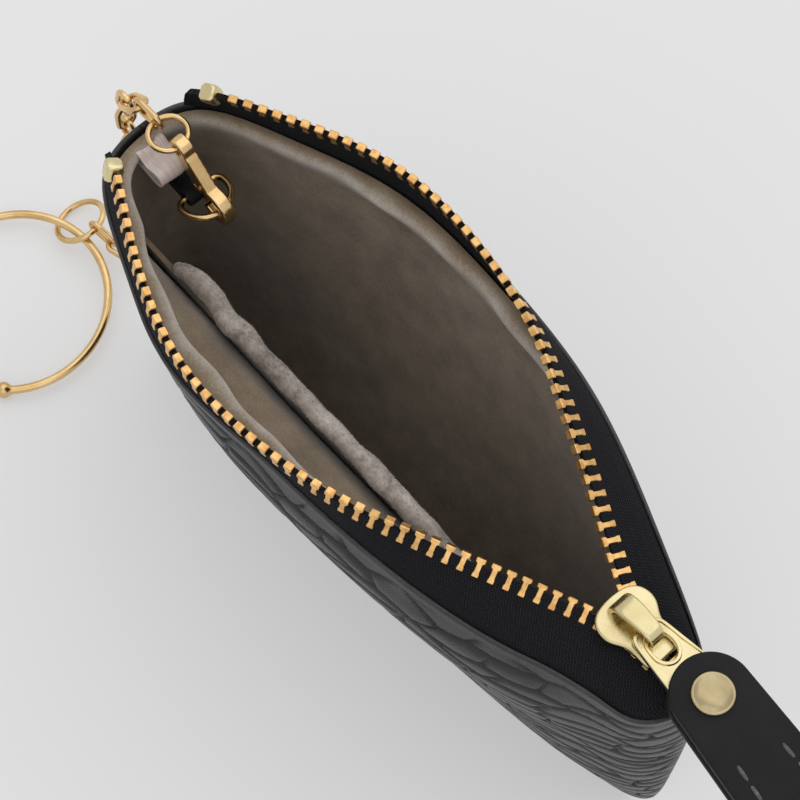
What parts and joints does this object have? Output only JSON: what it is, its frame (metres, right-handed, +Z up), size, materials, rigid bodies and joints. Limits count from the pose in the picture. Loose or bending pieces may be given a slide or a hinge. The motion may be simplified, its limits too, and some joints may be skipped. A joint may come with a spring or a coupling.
{
  "type": "key case",
  "caption": "Flat zip pouch of embossed black leather, standing open, with a suede lining, slip pocket, strap pull and a clasp, chain and hoop for keys.",
  "frame": {"origin": "middle of the flat base, in the plane of the side seams", "axes": "+X along the mouth towards the open end of the zip, where the slider stands; +Y towards the back wall; +Z up"},
  "size_m": [0.2078, 0.0627, 0.0787],
  "materials": {
    "black_leather": "semi-gloss, embossed in irregular scales",
    "suede_lining": "matt suede",
    "grey_pile": "short grey pile",
    "zip_tape": "woven",
    "tooth_brass": "satin",
    "gold_metal": "polished",
    "satin": "satin ribbon"
  },
  "bodies": {
    "case": {"front_panel": "black_leather", "back_panel": "black_leather", "front_lining": "suede_lining", "back_lining": "suede_lining", "slip_pocket": "suede_lining", "slip_pocket_hem": "grey_pile", "front_zip_tape": "zip_tape", "back_zip_tape": "zip_tape", "front_zip_teeth": "tooth_brass", "back_zip_teeth": "tooth_brass", "zip_top_stops": "gold_metal", "zip_bottom_stop": "gold_metal", "key_tab": "black_leather", "satin_loop": "satin"},
    "slider": {"slider_body": "gold_metal", "slider_crown": "gold_metal"},
    "pull": {"pull_tab": "gold_metal"},
    "strap": {"strap_top": "black_leather", "strap_core": "black_leather", "strap_bottom": "black_leather", "rivet_cap": "gold_metal", "rivet_post": "gold_metal"},
    "tab_ring": {"tab_ring": "gold_metal"},
    "clasp": {"clasp_body": "gold_metal", "clasp_pin": "gold_metal"},
    "trigger": {"clasp_trigger": "gold_metal"},
    "clasp_ring": {"clasp_ring": "gold_metal"},
    "link_01": {"chain_link_01": "gold_metal"},
    "link_02": {"chain_link_02": "gold_metal"},
    "link_03": {"chain_link_03": "gold_metal"},
    "link_04": {"chain_link_04": "gold_metal"},
    "link_05": {"chain_link_05": "gold_metal"},
    "link_06": {"chain_link_06": "gold_metal"},
    "link_07": {"chain_link_07": "gold_metal"},
    "link_08": {"chain_link_08": "gold_metal"},
    "link_09": {"chain_link_09": "gold_metal"},
    "link_10": {"chain_link_10": "gold_metal"},
    "link_11": {"chain_link_11": "gold_metal"},
    "link_12": {"chain_link_12": "gold_metal"},
    "link_13": {"chain_link_13": "gold_metal"},
    "link_14": {"chain_link_14": "gold_metal"},
    "link_15": {"chain_link_15": "gold_metal"},
    "link_16": {"chain_link_16": "gold_metal"},
    "link_17": {"chain_link_17": "gold_metal"},
    "link_18": {"chain_link_18": "gold_metal"},
    "link_19": {"chain_link_19": "gold_metal"},
    "hoop_ring": {"hoop_ring": "gold_metal"},
    "hoop": {"key_hoop": "gold_metal", "hoop_ball": "gold_metal"}
  },
  "joints": [
    {"name": "zip_slide", "type": "slide", "parent": "case", "child": "slider", "axis": [1, 0, 0], "range_m": [-0.082, 0], "deforming": ["front_zip_tape", "back_zip_tape", "front_zip_teeth", "back_zip_teeth"]},
    {"name": "pull_flip", "type": "hinge", "parent": "slider", "child": "pull", "pos_m": [0.04895, 0, 0.07509], "axis": [0, -1, 0], "range_deg": [0, 130]},
    {"name": "strap_swivel", "type": "hinge", "parent": "pull", "child": "strap", "pos_m": [0.06145, 0, 0.07509], "axis": [0, 0, 1], "range_deg": [-25, 25]},
    {"name": "tab_ring_swing", "type": "hinge", "parent": "case", "child": "tab_ring", "pos_m": [-0.04955, 0.0015, 0.062], "axis": [0, 1, 0], "range_deg": [0, 20]},
    {"name": "clasp_swing", "type": "hinge", "parent": "tab_ring", "child": "clasp", "pos_m": [-0.04366, 0.0015, 0.06358], "axis": [0, 1, 0], "range_deg": [0, 20]},
    {"name": "trigger_press", "type": "hinge", "parent": "clasp", "child": "trigger", "pos_m": [-0.04829, 0.0015, 0.06647], "axis": [0, -1, 0], "range_deg": [0, 20], "stiffness_Nm_per_rad": 0.01},
    {"name": "clasp_ring_swing", "type": "hinge", "parent": "clasp", "child": "clasp_ring", "pos_m": [-0.05193, 0.0015, 0.07284], "axis": [0, 1, 0], "range_deg": [0, 25]},
    {"name": "link_01_swing", "type": "hinge", "parent": "clasp_ring", "child": "link_01", "pos_m": [-0.058, 0.0015, 0.07231], "axis": [0, 1, 0], "range_deg": [0, 25]},
    {"name": "link_02_swing", "type": "hinge", "parent": "link_01", "child": "link_02", "pos_m": [-0.06145, 0.0015, 0.07213], "axis": [0, 1, 0], "range_deg": [0, 15]},
    {"name": "link_03_swing", "type": "hinge", "parent": "link_02", "child": "link_03", "pos_m": [-0.06547, 0.0015, 0.0696], "axis": [0, 1, 0], "range_deg": [0, 15]},
    {"name": "link_04_swing", "type": "hinge", "parent": "link_03", "child": "link_04", "pos_m": [-0.06683, 0.0015, 0.06417], "axis": [0.9997, 0, -0.0233], "range_deg": [-40, 40]},
    {"name": "link_05_swing", "type": "hinge", "parent": "link_04", "child": "link_05", "pos_m": [-0.06666, 0.0015, 0.06073], "axis": [-0.9997, 0, 0.0233], "range_deg": [-40, 40]},
    {"name": "link_06_swing", "type": "hinge", "parent": "link_05", "child": "link_06", "pos_m": [-0.06679, 0.0015, 0.05514], "axis": [-0.9997, 0, 0.0233], "range_deg": [-40, 40]},
    {"name": "link_07_swing", "type": "hinge", "parent": "link_06", "child": "link_07", "pos_m": [-0.06687, 0.0015, 0.05174], "axis": [0.9997, 0, -0.0233], "range_deg": [-40, 40]},
    {"name": "link_08_swing", "type": "hinge", "parent": "link_07", "child": "link_08", "pos_m": [-0.067, 0.0015, 0.04614], "axis": [0.9997, 0, -0.0233], "range_deg": [-40, 40]},
    {"name": "link_09_swing", "type": "hinge", "parent": "link_08", "child": "link_09", "pos_m": [-0.06708, 0.0015, 0.04274], "axis": [-0.9997, 0, 0.0233], "range_deg": [-40, 40]},
    {"name": "link_10_swing", "type": "hinge", "parent": "link_09", "child": "link_10", "pos_m": [-0.06721, 0.0015, 0.03714], "axis": [-0.9997, 0, 0.0233], "range_deg": [-40, 40]},
    {"name": "link_11_swing", "type": "hinge", "parent": "link_10", "child": "link_11", "pos_m": [-0.06729, 0.0015, 0.03374], "axis": [0.9997, 0, -0.0233], "range_deg": [-40, 40]},
    {"name": "link_12_swing", "type": "hinge", "parent": "link_11", "child": "link_12", "pos_m": [-0.06742, 0.0015, 0.02814], "axis": [0.9997, 0, -0.0233], "range_deg": [-40, 40]},
    {"name": "link_13_swing", "type": "hinge", "parent": "link_12", "child": "link_13", "pos_m": [-0.0675, 0.0015, 0.02474], "axis": [-0.9997, 0, 0.0233], "range_deg": [-40, 40]},
    {"name": "link_14_swing", "type": "hinge", "parent": "link_13", "child": "link_14", "pos_m": [-0.06763, 0.0015, 0.01915], "axis": [-0.9997, 0, 0.0233], "range_deg": [-40, 40]},
    {"name": "link_15_swing", "type": "hinge", "parent": "link_14", "child": "link_15", "pos_m": [-0.06771, 0.0015, 0.01575], "axis": [0.9997, 0, -0.0233], "range_deg": [-40, 40]},
    {"name": "link_16_swing", "type": "hinge", "parent": "link_15", "child": "link_16", "pos_m": [-0.06784, 0.0015, 0.01015], "axis": [0.8791, 0.1869, -0.4384], "range_deg": [-15, 15]},
    {"name": "link_17_swing", "type": "hinge", "parent": "link_16", "child": "link_17", "pos_m": [-0.06939, 0.00116, 0.00692], "axis": [-0.6287, -0.1336, 0.7661], "range_deg": [-15, 15]},
    {"name": "link_18_swing", "type": "hinge", "parent": "link_17", "child": "link_18", "pos_m": [-0.07359, 0.00027, 0.00332], "axis": [-0.1361, -0.0289, 0.9903], "range_deg": [-15, 15]},
    {"name": "link_19_swing", "type": "hinge", "parent": "link_18", "child": "link_19", "pos_m": [-0.07726, -0.00051, 0.0027], "axis": [-0.4891, -0.104, -0.866], "range_deg": [-15, 15]},
    {"name": "hoop_ring_swing", "type": "hinge", "parent": "link_19", "child": "hoop_ring", "pos_m": [-0.082, -0.00152, 0.0055], "axis": [-0.4891, -0.104, -0.866], "range_deg": [-8, 15]},
    {"name": "hoop_turn", "type": "hinge", "parent": "hoop_ring", "child": "hoop", "pos_m": [-0.08105, -0.02074, 0.00192], "axis": [-0.0166, -0.064, 0.9978], "range_deg": [-150, 100]}
  ]
}
